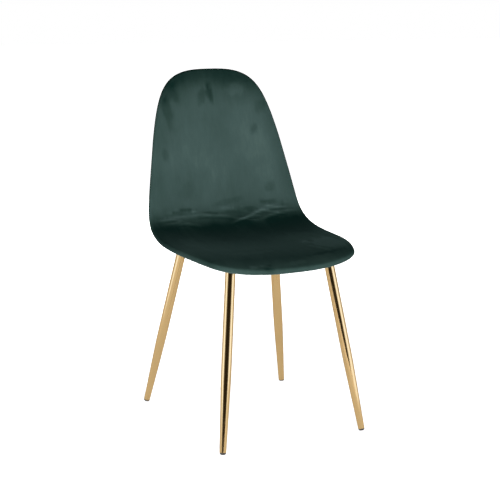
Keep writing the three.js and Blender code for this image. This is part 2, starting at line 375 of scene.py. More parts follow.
# Slack folds of the front cover, each from (x, along) to (x, along), with its height and half width
Fold = namedtuple("Fold", "start end height width")
FOLDS = [
    Fold((-0.194, 0.389), (-0.130, 0.384), 0.0016, 0.0036),
    Fold((-0.160, 0.417), (-0.055, 0.404), 0.0014, 0.0055),
    Fold((-0.125, 0.398), (0.012, 0.391), 0.0015, 0.0050),
    Fold((-0.175, 0.372), (-0.090, 0.365), 0.0012, 0.0055),
    Fold((0.012, 0.366), (0.085, 0.385), 0.0022, 0.0042),
    Fold((0.050, 0.382), (0.180, 0.410), 0.0024, 0.0038),
    Fold((0.080, 0.400), (0.172, 0.422), 0.0017, 0.0046),
    Fold((0.095, 0.370), (0.190, 0.388), 0.0016, 0.0050),
    Fold((-0.020, 0.420), (0.062, 0.411), 0.0012, 0.0065),
    Fold((-0.078, 0.022), (-0.052, 0.006), 0.0012, 0.0050),
]
# In parts of a fold's length: how far it bends, and where it fades in and out
FOLD_BEND = 0.06
FADE_IN = (-0.25, 0.30)
FADE_OUT = (0.70, 1.25)
# A dip's depth in parts of its fold's height, and its distance from the fold in half widths
DIP_DEPTH = 0.5
DIP_DISTANCE = 2

# Uneven height and puckers. Each pair is the depths inside the outline between which they grow or fade
UNEVENNESS = 0.0006
UNEVEN_DEPTHS = (0.010, 0.050)
UNEVEN_RIPPLES = [Ripple(1, 11, 9, 4.4)]
PUCKERS = 150
PUCKER_HEIGHT = 0.00025
PUCKER_START = (RIM_RADIUS, 0.010)
PUCKER_END = (0.012, 0.026)
PUCKER_RIPPLES = [Ripple(3, 20, 20, 8.8)]


def fold_height(places, fold):
    """A low ridge along a slightly bent line, with a dip beside it, that fades out at both ends."""
    start, end = np.array(fold.start), np.array(fold.end)
    length = np.linalg.norm(end - start)
    along = (end - start) / length
    place = (places - start) @ along / length
    off = (places - start) @ np.array([-along[1], along[0]])
    off = (off - FOLD_BEND * length * np.sin(math.pi * place)) / fold.width
    fade = smooth(place, *FADE_IN) * (1 - smooth(place, *FADE_OUT))
    return fold.height * fade * (np.exp(-off ** 2) - DIP_DEPTH * np.exp(-(off + DIP_DISTANCE) ** 2))


def folds_height(places, folds):
    return sum((fold_height(places, fold) for fold in folds), np.zeros(len(places)))


def slack(places, folds):
    """Height of the loose cloth over the padding: folds, unevenness, and puckers along the seam."""
    depth = rim_distance(places)
    uneven = UNEVENNESS * smooth(depth, *UNEVEN_DEPTHS) * wander(places, UNEVEN_RIPPLES)
    turn = np.arctan2(places[:, 0], places[:, 1] - (SPINE_START + SPINE_END) / 2)
    near = smooth(depth, *PUCKER_START) * (1 - smooth(depth, *PUCKER_END))
    puckers = PUCKER_HEIGHT * near * np.sin(PUCKERS * turn + wander(places, PUCKER_RIPPLES))
    return folds_height(places, folds) + uneven + puckers


def surface_normals(mesh):
    normals = np.empty(3 * len(mesh.vertices))
    mesh.vertices.foreach_get("normal", normals)
    return normals.reshape(-1, 3)


# ---- Settling of the covers ----

# The cover is held in the seam and free from HELD_WIDTH inwards. It may end up to CREASE_CAP off the padding
COVER_FRAMES = 12
HELD = "held"
HELD_WIDTH = 0.013
CONTACT = 0.001
CREASE_CAP = 0.0030
CLOTH_FRICTION = 5
CLOTH = {
    "quality": 6,
    "mass": 0.3,
    "tension_stiffness": 30,
    "compression_stiffness": 30,
    "shear_stiffness": 10,
    "bending_stiffness": 0.1,
    "use_pressure": True,
    "uniform_pressure_force": -4,
    "vertex_group_mass": HELD,
}


def padding_form(cover, points):
    """A hard copy of the cover at these points, for the cloth to lie on."""
    form = new_object("form", points, [tuple(face.vertices) for face in cover.data.polygons])
    form.modifiers.new("contact", "COLLISION")
    form.collision.thickness_outer = CONTACT
    form.collision.thickness_inner = CONTACT
    form.collision.cloth_friction = CLOTH_FRICTION
    return form


def add_cloth(cover):
    cloth = cover.modifiers.new("cloth", "CLOTH")
    for key, value in CLOTH.items():
        setattr(cloth.settings, key, value)
    cloth.settings.effector_weights.gravity = 0
    cloth.collision_settings.distance_min = CONTACT
    cloth.point_cache.frame_end = COVER_FRAMES
    return cloth


def settle(cover, places, fitted, normals):
    """Cloth simulation: the loose cover is pressed onto the padding, held along its seam."""
    free = smooth(rim_distance(places), RIM_RADIUS, HELD_WIDTH)
    vertex_group(cover, HELD, 1 - free)
    form = padding_form(cover, fitted - normals * 2 * CONTACT)
    cloth = add_cloth(cover)
    scene = bpy.context.scene
    for number in range(1, COVER_FRAMES + 1):
        scene.frame_set(number)
    moved = coordinates(evaluated(cover).data)
    cover.modifiers.remove(cloth)
    bpy.data.objects.remove(form)
    scene.frame_set(1)
    shift = moved - fitted
    size = np.linalg.norm(shift, axis=1, keepdims=True)
    set_coordinates(cover.data, fitted + shift * (CREASE_CAP / np.maximum(size, CREASE_CAP)))


def loosen(cover, places, folds):
    """Gives the cover its slack and lets it settle."""
    fitted = coordinates(cover.data)
    normals = surface_normals(cover.data)
    set_coordinates(cover.data, fitted + normals * slack(places, folds)[:, None])
    settle(cover, places, fitted, normals)


def close_cover(cover):
    """Gives the sheet the cloth's thickness and smooths it."""
    thickness = cover.modifiers.new("thickness", "SOLIDIFY")
    thickness.thickness = COVER_THICKNESS
    thickness.offset = -1
    fine = cover.modifiers.new("fine", "SUBSURF")
    fine.levels = FINE_LEVELS
    fine.render_levels = FINE_LEVELS


# ---- Brushed pile of the covers, with painted light and shade ----


def paint(cover, name, values):
    """Gives each point of the cover a number or a vector that its material reads."""
    kind = "FLOAT" if values.ndim == 1 else "FLOAT_VECTOR"
    layer = cover.data.attributes.new(name, kind, "POINT")
    layer.data.foreach_set("value" if values.ndim == 1 else "vector", values.astype(np.float32).ravel())


# How light the front cover is along its middle, as (along, lightness): brushed pile together with painted
# light and shade. The rear of the seat, under the back and in grazing light, is painted dark as shade, the
# back that faces the front light is painted light, and the front edge is painted lighter as a highlight
FRONT_PILE_AND_PAINTED_LIGHT = [
    (0.000, 0.40), (0.012, 0.46), (0.030, 0.34), (0.055, 0.16), (0.090, 0.30), (0.150, 0.52), (0.205, 0.30),
    (0.260, 0.04), (0.352, 0.02), (0.372, 0.24), (0.392, 0.50), (0.412, 0.70), (0.440, 0.86), (0.560, 1.02),
    (0.690, 0.94), (0.735, 0.70), (0.765, 0.36), (0.793, 0.30),
]
BAND_RIPPLES = [Ripple(0.012, 16, 9, 3.1), Ripple(0.008, 55, 14, 7.7)]
FRONT_BLOTCHES = [Ripple(0.12, 12, 8, 1.3)]

# Painted shade, darker towards the edge of the back
EDGE_PAINTED_SHADE = 0.22
EDGE_PAINTED_SHADE_DEPTHS = (0, 0.060)
EDGE_PAINTED_SHADE_START = (0.43, 0.50)
# Painted highlight, lighter where the seat's edge rolls over the rim
RIM_PAINTED_HIGHLIGHT = 0.26
RIM_PAINTED_HIGHLIGHT_DEPTHS = (0.0005, 0.0045)
RIM_PAINTED_HIGHLIGHT_END = (0.36, 0.44)
# Painted highlight on the folds' ridges and painted shade in their dips: change of lightness for each metre of
# a fold's height
FOLD_PAINTED_LIGHT = 260

# Rear cover: its lightness, painted lighter to make up for the dimmer light behind the chair; a painted
# highlight along its rolled rim; and blotches of the pile
REAR_TONE = 0.75
REAR_RIM_PAINTED_HIGHLIGHT = 0.4
REAR_RIM_HIGHLIGHT_DEPTHS = (0.004, 0.012)
REAR_BLOTCHES = [Ripple(0.22, 9, 5, 5.5), Ripple(0.10, 40, 12, 2.2)]

# Where a mark starts to fade and where it ends, in parts of its half sizes
MARK_EDGE = (0.55, 1.15)
RAGGED_RIPPLES = [Ripple(0.45, 70, 28, 9.1), Ripple(0.25, 150, 60, 6.3)]
# Strokes of a hand, and painted highlights of the same oval shape: middle, half sizes, turn in degrees and
# change of lightness
OvalMark = namedtuple("OvalMark", "x along across length turn change")
BRUSH_MARKS_AND_PAINTED_HIGHLIGHTS = [
    OvalMark(-0.012, 0.728, 0.010, 0.035, 10, -0.45),
    OvalMark(-0.035, 0.715, 0.012, 0.030, -15, -0.25),
    OvalMark(-0.125, 0.735, 0.030, 0.035, 25, -0.25),
    OvalMark(-0.135, 0.680, 0.016, 0.050, 12, -0.25),
    OvalMark(0.060, 0.735, 0.028, 0.020, 0, 0.20),
    OvalMark(0.105, 0.628, 0.010, 0.014, -20, -0.30),
    OvalMark(0.130, 0.690, 0.020, 0.018, 30, -0.20),
    OvalMark(-0.155, 0.570, 0.009, 0.018, 0, -0.25),
    OvalMark(-0.125, 0.418, 0.040, 0.008, 8, -0.50),
    OvalMark(-0.060, 0.408, 0.045, 0.007, -6, -0.35),
    OvalMark(-0.150, 0.400, 0.030, 0.007, 4, 0.25),
    OvalMark(0.010, 0.440, 0.050, 0.009, 10, -0.16),
    OvalMark(0.060, 0.412, 0.050, 0.008, -12, -0.30),
    OvalMark(0.120, 0.396, 0.045, 0.006, -14, 0.30),
    OvalMark(0.130, 0.428, 0.040, 0.008, -10, -0.30),
    OvalMark(0.135, 0.470, 0.018, 0.014, 20, -0.22),
    OvalMark(-0.100, 0.480, 0.030, 0.020, 35, -0.12),
    OvalMark(0.045, 0.375, 0.035, 0.006, -14, 0.30),
    OvalMark(-0.110, 0.560, 0.040, 0.060, 20, 0.06),
    OvalMark(-0.060, 0.012, 0.010, 0.012, 0, -0.35),
    OvalMark(-0.095, 0.016, 0.014, 0.010, 0, 0.30),
    OvalMark(0.020, 0.022, 0.030, 0.010, 8, 0.20),
    OvalMark(0.110, 0.052, 0.055, 0.008, 6, -0.20),
    # Painted highlight where the seat's right front corner catches the light
    OvalMark(0.160, 0.115, 0.060, 0.060, 10, 0.42),
    OvalMark(0.130, 0.210, 0.050, 0.060, 20, 0.14),
    OvalMark(-0.060, 0.110, 0.080, 0.016, 4, 0.12),
    OvalMark(-0.155, 0.230, 0.035, 0.050, 5, 0.14),
]


def oval_mark(places, ragged, mark):
    """The oval of one mark (strokes of the hand, and a painted highlight), with a ragged edge."""
    turn = math.radians(mark.turn)
    across = (places[:, 0] - mark.x) * math.cos(turn) + (places[:, 1] - mark.along) * math.sin(turn)
    length = (places[:, 1] - mark.along) * math.cos(turn) - (places[:, 0] - mark.x) * math.sin(turn)
    distance = np.hypot(across / mark.across, length / mark.length)
    return mark.change * (1 - smooth(distance + ragged, *MARK_EDGE))


def front_pile_and_painted_light(places):
    """How light the front cover is painted: brushed pile, with painted shade and painted highlights."""
    along = places[:, 1] + wander(places, BAND_RIPPLES)
    depth = rim_distance(places)
    # Bands along the middle: brushed pile with painted shade on the seat and painted light on the back
    tone = np.interp(along, *zip(*FRONT_PILE_AND_PAINTED_LIGHT))
    # Painted shade along the edge of the back
    tone -= EDGE_PAINTED_SHADE * (1 - smooth(depth, *EDGE_PAINTED_SHADE_DEPTHS)) * smooth(along, *EDGE_PAINTED_SHADE_START)
    ragged = wander(places, RAGGED_RIPPLES)
    for mark in BRUSH_MARKS_AND_PAINTED_HIGHLIGHTS:
        tone += oval_mark(places, ragged, mark)
    # Painted highlights on the folds' ridges and painted shade in their dips
    tone += FOLD_PAINTED_LIGHT * folds_height(places, FOLDS)
    # Painted highlight on the seat's rolled rim
    tone += RIM_PAINTED_HIGHLIGHT * (1 - smooth(depth, *RIM_PAINTED_HIGHLIGHT_DEPTHS)) * (1 - smooth(along, *RIM_PAINTED_HIGHLIGHT_END))
    return tone + wander(places, FRONT_BLOTCHES)


def rear_pile_and_painted_light(places):
    """How light the rear cover is painted: brushed pile, painted lighter to make up for the dimmer light
    behind the chair, with a painted highlight along the rolled rim.
    """
    # Painted highlight along the rolled rim
    rolled_highlight = 1 - smooth(rim_distance(places), *REAR_RIM_HIGHLIGHT_DEPTHS)
    return REAR_TONE + REAR_RIM_PAINTED_HIGHLIGHT * rolled_highlight + wander(places, REAR_BLOTCHES)


def velvet_cover(name, side, folds, pile_and_painted_light):
    """A whole cover: its sheet with slack, its brushed pile with painted light and shade, and its thickness.
    """
    cover, places = cover_skin(name, side)
    loosen(cover, places, folds)
    paint(cover, "pile_and_painted_light", pile_and_painted_light(places))
    paint(cover, "cloth_place", np.pad(places, ((0, 0), (0, 1))))
    close_cover(cover)
    return cover


# ---- Legs and fasteners, as in the CAD model ----

# A leg's plate under the shell, its foot on the floor, and the plate's gap to the cover and turn in degrees
Leg = namedtuple("Leg", "x along foot_x foot_y gap turn")
LEGS = {
    "front": Leg(0.132, 0.070, 0.190, -0.242, 0.0008, 140),
    "rear": Leg(0.126, 0.353, 0.203, 0.209, 0.0005, 0),
}
SIDES = {"left": 1, "right": -1}
# Distance over which the slope of the underside is measured
SLOPE_STEP = 0.001

# Points round a turned piece, and the radius of a ring that closes it near the axis
ROUND = 72
ANGLES = np.arange(ROUND) * 2 * math.pi / ROUND
AXIS_RADIUS = 0.0001
SHARP_ANGLE = math.radians(32)
BEVEL_ANGLE = math.radians(40)
BEVEL_STEPS = 2

TUBE_RADIUS = 0.01225
FOOT_RADIUS = 0.0079
TUBE_WALL = 0.0015
TUBE_START = 0.0045
TAPER_TOP = 0.180
TAPER_BLEND = 0.012
TUBE_RINGS = 48
TUBE_RINGS_TOP = 0.40
TUBE_EDGE = 0.0004

PLATE_THICKNESS = 0.0025
HOLE_CIRCLE = 0.024
PLATE_CORNER = 0.008
PLATE_HOLE = 0.0033
PLATE_EDGE = 0.0004
BOLTS_PER_LEG = 3
CORNER_STEPS = 25
HOLE_STEPS = 36
MERGE_DISTANCE = 1e-6

# A weld's size, and its width, height and ripples in parts of it
WELD_SIZE = 0.0022
WELD_WIDTH = 0.8
WELD_HEIGHT = 0.9
WELD_RIPPLE = 0.10
WELD_RIPPLES = 18
WELD_GAP = 0.0001
WELD_STEPS = 6

GLIDE_RADIUS = 0.0076
GLIDE_STEM = 0.0059
GLIDE_TOP = 0.022
GLIDE_CHAMFER = 0.001
GLIDE_DOME = 0.0032
GLIDE_DOME_TOP = 0.0022
# Angle from the axis at which the dome's rings start
GLIDE_START = 0.02
GLIDE_STEPS = 12

BOLT_RADIUS = 0.003
BOLT_LENGTH = 0.020
THREAD_PITCH = 0.001
THREAD_DEPTH = 0.0003
HEAD_RADIUS = 0.00525
CROWN_RADIUS = 0.0032
HEAD_HEIGHT = 0.0022
HEAD_EDGE = 0.0008
SOCKET_RADIUS = 0.0023
SOCKET_DEPTH = 0.0013
CROWN_STEPS = 8
NUT_BORE = 0.0033
NUT_BARREL = 0.0042
NUT_BARREL_LENGTH = 0.0065
NUT_FLANGE = 0.0085
NUT_THICKNESS = 0.0012
NUT_SUNK = 0.001
NUT_EDGE = 0.0002
COVER_HOLE = 0.0036
BARREL_HOLE = 0.0046
FLANGE_RECESS = 0.0089
POCKET_RISE = 0.005
HOLE_DEPTH = 0.050
COVER_HOLE_RISE = 0.025


def back_height(place):
    """Height of the rear cover's outer face over the middle surface."""
    return float(-RIM_RADIUS + swell(rim_distance(place), BACK))


def underside(x, along):
    place = np.array([x, along])
    return Vector(shell_point(place, back_height(place)))


def plate_frame(leg, side):
    """z = 0 is a mounting plate's upper face, +Z goes into the shell and +Y to its first corner."""
    x = side * leg.x
    forward = (underside(x, leg.along - SLOPE_STEP) - underside(x, leg.along + SLOPE_STEP)).normalized()
    across = underside(x + SLOPE_STEP, leg.along) - underside(x - SLOPE_STEP, leg.along)
    up = forward.cross(across).normalized()
    y = Matrix.Rotation(-side * math.radians(leg.turn), 3, up) @ forward
    axes = Matrix((y.cross(up), y, up)).transposed()
    return Matrix.Translation(underside(x, leg.along) - up * leg.gap) @ axes.to_4x4()


def leg_frame(leg, side, plate):
    """The origin is on the floor and +Z runs up the tube to the plate."""
    foot = Vector((side * leg.foot_x, leg.foot_y, 0))
    way = (plate.translation - foot).normalized()
    return Matrix.Translation(foot) @ Vector((0, 0, 1)).rotation_difference(way).to_matrix().to_4x4()


def turned(name, rings, place, closed=False):
    """Solid of revolution about Z from (radius, z) rings. Either may be an array over the angles."""
    points = []
    for radius, z in rings:
        ring = np.stack([radius * np.cos(ANGLES), radius * np.sin(ANGLES), z + 0 * ANGLES], -1)
        points += [place @ Vector(point) for point in ring]
    count = len(rings)
    faces = []
    for ring in range(count if closed else count - 1):
        low, high = ring * ROUND, (ring + 1) % count * ROUND
        for step in range(ROUND):
            after = (step + 1) % ROUND
            faces.append((low + step, low + after, high + after, high + step))
    if not closed:
        faces += [tuple(range(ROUND))[::-1], tuple(range((count - 1) * ROUND, count * ROUND))]
    piece = new_object(name, points, faces)
    piece.data.set_sharp_from_angle(angle=SHARP_ANGLE)
    return piece


def soften(piece, width):
    """Rounds a piece's sharp edges."""
    bevel = piece.modifiers.new("edges", "BEVEL")
    bevel.width = width
    bevel.segments = BEVEL_STEPS
    bevel.limit_method = "ANGLE"
    bevel.angle_limit = BEVEL_ANGLE


def tube_radius(z):
    """Taper from the foot to the full radius, with a soft change of slope at its top."""
    slope = (TUBE_RADIUS - FOOT_RADIUS) / (TAPER_TOP - TUBE_START)
    below = TAPER_TOP - z
    return TUBE_RADIUS - slope * (math.hypot(below, TAPER_BLEND) + below) / 2


def plate_height(radius, inside, depth):
    """Heights over the angles, in a leg's frame, where a tube meets a plane under the plate's top face."""
    up = inside.to_3x3() @ Vector((0, 0, 1))
    middle = inside @ Vector((0, 0, -depth))
    slant = (up.x * (middle.x - radius * np.cos(ANGLES)) + up.y * (middle.y - radius * np.sin(ANGLES))) / up.z
    return middle.z + slant


def leg_tube(name, stand, inside):
    """A tapered tube, cut along the slant of its plate."""
    heights = np.linspace(TUBE_START, TUBE_RINGS_TOP, TUBE_RINGS)
    heights = heights[heights < inside.translation.z - 2 * TUBE_RADIUS]
    depth = PLATE_THICKNESS + CLEARANCE
    bore = TUBE_RADIUS - TUBE_WALL
    outer = [(tube_radius(z), z) for z in heights] + [(TUBE_RADIUS, plate_height(TUBE_RADIUS, inside, depth))]
    inner = [(bore, plate_height(bore, inside, depth))]
    inner += [(tube_radius(z) - TUBE_WALL, z) for z in heights[::-1]]
    piece = turned(name, outer + inner, stand, closed=True)
    soften(piece, TUBE_EDGE)
    return piece


def weld(name, stand, inside):
    """The bead in the corner between tube and plate, rippled as it was laid."""
    root = TUBE_RADIUS + WELD_GAP
    depth = PLATE_THICKNESS + CLEARANCE + WELD_GAP
    size = WELD_SIZE * (1 + WELD_RIPPLE * np.sin(WELD_RIPPLES * ANGLES))
    section = []
    for turn in np.linspace(0, math.pi / 2, WELD_STEPS):
        radius = root + size * math.sin(turn) * WELD_WIDTH
        section.append((radius, plate_height(radius, inside, depth) - size * math.cos(turn) * WELD_HEIGHT))
    section.append((root, plate_height(root, inside, depth)))
    return turned(name, section, stand, closed=True)


def foot_glide(name, stand):
    """A plug with a low domed sole that is flat where it stands on the floor."""
    shoulder = TUBE_START - CLEARANCE
    rings = []
    for turn in np.linspace(GLIDE_START, math.pi / 2, GLIDE_STEPS):
        rings.append((GLIDE_RADIUS * math.sin(turn), GLIDE_DOME_TOP - GLIDE_DOME * math.cos(turn)))
    rings += [
        (GLIDE_RADIUS, shoulder), (GLIDE_STEM, shoulder), (GLIDE_STEM, GLIDE_TOP - GLIDE_CHAMFER),
        (GLIDE_STEM - GLIDE_CHAMFER, GLIDE_TOP),
    ]
    piece = turned(name, rings, stand)
    points = coordinates(piece.data)
    points[:, 2] = np.maximum(points[:, 2], 0)
    set_coordinates(piece.data, points)
    return piece


def hole_places():
    places = []
    for index in range(BOLTS_PER_LEG):
        angle = math.pi / 2 + 2 * math.pi * index / BOLTS_PER_LEG
        places.append(Vector((math.cos(angle), math.sin(angle), 0)) * HOLE_CIRCLE)
    return places


def arc(centre, radius, start, end, steps):
    angles = np.linspace(start, end, steps)
    return [(centre.x + radius * math.cos(angle), centre.y + radius * math.sin(angle)) for angle in angles]


def plate_outlines():
    """The outline of a rounded triangle, then those of its holes."""
    edge = []
    holes = []
    last = 2 * math.pi * (HOLE_STEPS - 1) / HOLE_STEPS
    for hole in hole_places():
        middle = math.atan2(hole.y, hole.x)
        edge += arc(hole, PLATE_CORNER, middle - math.pi / 3, middle + math.pi / 3, CORNER_STEPS)
        holes.append(arc(hole, PLATE_HOLE, 0, last, HOLE_STEPS))
    return [edge] + holes


def join_up(mesh):
    """Joins the separate faces of a mesh that was made from a curve."""
    joined = bmesh.new()
    joined.from_mesh(mesh)
    bmesh.ops.remove_doubles(joined, verts=joined.verts, dist=MERGE_DISTANCE)
    bmesh.ops.recalc_face_normals(joined, faces=joined.faces)
    joined.to_mesh(mesh)
    joined.free()
    mesh.shade_smooth()
    mesh.set_sharp_from_angle(angle=SHARP_ANGLE)


def leg_plate(name, place):
    """A rounded triangle with three holes and slightly rounded edges."""
    curve = bpy.data.curves.new(name, "CURVE")
    curve.dimensions = "2D"
    curve.fill_mode = "BOTH"
    curve.extrude = PLATE_THICKNESS / 2 - PLATE_EDGE
    curve.bevel_depth = PLATE_EDGE
    curve.bevel_resolution = BEVEL_STEPS
    curve.offset = -PLATE_EDGE
    for points in plate_outlines():
        spline = curve.splines.new("POLY")
        spline.points.add(len(points) - 1)
        spline.use_cyclic_u = True
        for point, (x, y) in zip(spline.points, points):
            point.co = (x, y, 0, 1)
    drawn = linked(name, curve)
    mesh = bpy.data.meshes.new_from_object(evaluated(drawn))
    bpy.data.objects.remove(drawn)
    mesh.transform(place @ Matrix.Translation((0, 0, -PLATE_THICKNESS / 2)))
    join_up(mesh)
    return linked(name, mesh)


def bolt(name, place):
    """Low button head with a hexagon socket, and a shank with ridges for its thread."""
    sixth = math.pi / 3
    hexagon = SOCKET_RADIUS * math.cos(sixth / 2) / np.cos((ANGLES % sixth) - sixth / 2)
    top = -PLATE_THICKNESS - CLEARANCE
    crown = top - HEAD_HEIGHT
    rings = [(AXIS_RADIUS, crown + SOCKET_DEPTH), (hexagon, crown + SOCKET_DEPTH), (hexagon, crown)]
    for turn in np.linspace(0, math.pi / 2, CROWN_STEPS):
        radius = CROWN_RADIUS + (HEAD_RADIUS - CROWN_RADIUS) * math.sin(turn)
        rings.append((radius, top - HEAD_EDGE - (HEAD_HEIGHT - HEAD_EDGE) * math.cos(turn)))
    rings += [(HEAD_RADIUS, top), (BOLT_RADIUS, top)]
    end = top + BOLT_LENGTH
    for start in np.arange(top + 2 * THREAD_PITCH, end - THREAD_PITCH, THREAD_PITCH):
        rings += [(BOLT_RADIUS - THREAD_DEPTH, start), (BOLT_RADIUS, start + THREAD_PITCH / 2)]
    rings.append((BOLT_RADIUS - THREAD_DEPTH, end))
    return turned(name, rings, place)


def nut_top(leg):
    """Height of a tee nut's flange, which is sunk into the plywood's front face, over the plate."""
    middle = leg.gap - back_height(np.array([leg.x, leg.along]))
    return middle + PLYWOOD_THICKNESS / 2 - NUT_SUNK


def tee_nut(name, place, top):
    neck = top - NUT_THICKNESS
    bottom = neck - NUT_BARREL_LENGTH
    rings = [
        (NUT_BORE, bottom), (NUT_BARREL, bottom), (NUT_BARREL, neck), (NUT_FLANGE, neck), (NUT_FLANGE, top),
        (NUT_BORE, top),
    ]
    piece = turned(name, rings, place, closed=True)
    soften(piece, NUT_EDGE)
    return piece


Hole = namedtuple("Hole", "place bottom top")


def rods(holes, radius):
    """All the cutters of one radius as one object."""
    joined = bmesh.new()
    for hole in holes:
        single = turned("cutter", [(radius, hole.bottom), (radius, hole.top)], hole.place)
        joined.from_mesh(single.data)
        bpy.data.objects.remove(single)
    mesh = bpy.data.meshes.new("cutters")
    joined.to_mesh(mesh)
    joined.free()
    return linked("cutters", mesh)


def cut(piece, cutters):
    """Cuts holes and leaves the result as a plain mesh."""
    for cutter in cutters:
        hole = piece.modifiers.new("hole", "BOOLEAN")
        hole.operation = "DIFFERENCE"
        hole.solver = "EXACT"
        hole.object = cutter
    whole = bpy.data.meshes.new_from_object(evaluated(piece))
    piece.modifiers.clear()
    piece.data = whole
    for cutter in cutters:
        bpy.data.objects.remove(cutter)
    return piece


def fastener_holes():
    """The holes for the bolts, the tee nuts' barrels and their flanges."""
    shanks, barrels, flanges = [], [], []
    for leg in LEGS.values():
        for side in SIDES.values():
            plate = plate_frame(leg, side)
            floor = nut_top(leg) - NUT_THICKNESS - CLEARANCE
            for place in hole_places():
                spot = plate @ Matrix.Translation(place)
                shanks.append(Hole(spot, -HOLE_DEPTH, COVER_HOLE_RISE))
                barrels.append(Hole(spot, -HOLE_DEPTH, floor + CLEARANCE))
                flanges.append(Hole(spot, floor, nut_top(leg) + POCKET_RISE))
    return shanks, barrels, flanges


# ---- Nodes of a material ----


def material(name, **values):
    """A new material and its Principled shader with these values."""
    made = bpy.data.materials.new(name)
    made.use_nodes = True
    shader = made.node_tree.nodes["Principled BSDF"]
    for key, value in values.items():
        shader.inputs[key.replace("_", " ")].default_value = value
    return made, made.node_tree, shader


def add(tree, kind, **values):
    """A new node with these settings and input values."""
    node = tree.nodes.new(kind)
    for key, value in values.items():
        if hasattr(node, key):
            setattr(node, key, value)
        else:
            node.inputs[key.replace("_", " ")].default_value = value
    return node


def texture_place(tree, scale):
    """Object coordinates, stretched by scale."""
    place = add(tree, "ShaderNodeTexCoord")
    mapping = add(tree, "ShaderNodeMapping", Scale=scale)
    tree.links.new(place.outputs["Object"], mapping.inputs["Vector"])
    return mapping.outputs["Vector"]


def noise_texture(tree, place, scale, detail=4, roughness=0.5):
    texture = add(tree, "ShaderNodeTexNoise", Scale=scale, Detail=detail, Roughness=roughness)
    tree.links.new(place, texture.inputs["Vector"])
    return texture.outputs["Fac"]


def ramp(tree, factor, stops):
    """Colours along a factor, from (position, colour) stops."""
    node = add(tree, "ShaderNodeValToRGB")
    elements = node.color_ramp.elements
    while len(elements) < len(stops):
        elements.new(1)
    for element, (position, colour) in zip(elements, stops):
        element.position = position
        element.color = (*colour, 1)
    tree.links.new(factor, node.inputs["Fac"])
    return node.outputs["Color"]


def paint_by(tree, shader, factor, stops):
    """Gives the shader its base colour along a factor."""
    tree.links.new(ramp(tree, factor, stops), shader.inputs["Base Color"])


def arithmetic(tree, operation, *values):
    """The result of a maths node. Each value is a number or another node's output."""
    node = add(tree, "ShaderNodeMath", operation=operation)
    for socket, value in zip(node.inputs, values):
        if isinstance(value, (int, float)):
            socket.default_value = value
        else:
            tree.links.new(value, socket)
    return node.outputs[0]


def stretch(tree, factor, target, start=0, end=1):
    """Turns start..end of a factor into the two target values."""
    node = add(tree, "ShaderNodeMapRange", From_Min=start, From_Max=end, To_Min=target[0], To_Max=target[1])
    tree.links.new(factor, node.inputs["Value"])
    return node.outputs["Result"]


def bump(tree, shader, height, strength, distance):
    node = add(tree, "ShaderNodeBump", Strength=strength, Distance=distance)
    tree.links.new(height, node.inputs["Height"])
    tree.links.new(node.outputs["Normal"], shader.inputs["Normal"])


# ---- Materials ----

# Texture scale that stretches nothing
EVEN = (1, 1, 1)

# Colours of the velvet by its painted lightness (brushed pile with painted shade and highlights), which is
# divided by its range to fit a colour ramp
PILE_AND_PAINTED_LIGHT_RANGE = 1.5
VELVET_TONES = [
    (0, (0.0018, 0.0078, 0.0064)), (0.5 / PILE_AND_PAINTED_LIGHT_RANGE, (0.0112, 0.0225, 0.0195)),
    (1 / PILE_AND_PAINTED_LIGHT_RANGE, (0.0235, 0.0405, 0.0378)), (1, (0.050, 0.078, 0.071)),
]
# Streaks along the flat cloth: their fineness and their strength
VELVET_STREAKS = [((14, 9, 1), 0.30), ((60, 16, 1), 0.22), ((260, 60, 1), 0.12)]
GOLD_ROUGHNESS = (0.06, 0.15)
FLOOR_GLOW = (0.62, 1.0)
FLOOR_GLOW_START = 0.6
FLOOR_GLOW_END = 3.0


def velvet():
    made, tree, shader = material(
        "velvet_green", Roughness=0.9, Specular_IOR_Level=0.0,
        Sheen_Weight=0.03, Sheen_Roughness=0.4, Sheen_Tint=(0.45, 0.8, 0.75, 1),
    )
    flat = add(tree, "ShaderNodeAttribute", attribute_name="cloth_place").outputs["Vector"]
    # The painted lightness of the covers: brushed pile with painted shade and painted highlights
    pile_and_painted_light = add(tree, "ShaderNodeAttribute", attribute_name="pile_and_painted_light").outputs["Fac"]
    for fineness, strength in VELVET_STREAKS:
        stretched = add(tree, "ShaderNodeMapping", Scale=fineness)
        tree.links.new(flat, stretched.inputs["Vector"])
        streak = noise_texture(tree, stretched.outputs["Vector"], scale=1, detail=3, roughness=0.55)
        centred = arithmetic(tree, "SUBTRACT", streak, 0.5)
        pile_and_painted_light = arithmetic(tree, "MULTIPLY_ADD", centred, strength, pile_and_painted_light)
    paint_by(tree, shader, arithmetic(tree, "DIVIDE", pile_and_painted_light, PILE_AND_PAINTED_LIGHT_RANGE), VELVET_TONES)
    fibres = noise_texture(tree, texture_place(tree, EVEN), scale=900, detail=2)
    bump(tree, shader, fibres, strength=0.25, distance=0.0004)
    return made


def foam():
    made, tree, shader = material("foam_cream", Roughness=0.95)
    cells = noise_texture(tree, texture_place(tree, EVEN), scale=700, detail=2)
    paint_by(tree, shader, cells, [(0.3, (0.55, 0.47, 0.28)), (0.7, (0.72, 0.64, 0.42))])
    bump(tree, shader, cells, strength=0.6, distance=0.0006)
    return made


def wadding():
    made, tree, shader = material("wadding_white", Roughness=1.0, Sheen_Weight=0.3)
    fibres = noise_texture(tree, texture_place(tree, (1, 1, 4)), scale=260, detail=5, roughness=0.7)
    paint_by(tree, shader, fibres, [(0.3, (0.66, 0.65, 0.60)), (0.7, (0.84, 0.83, 0.79))])
    bump(tree, shader, fibres, strength=0.5, distance=0.0008)
    return made


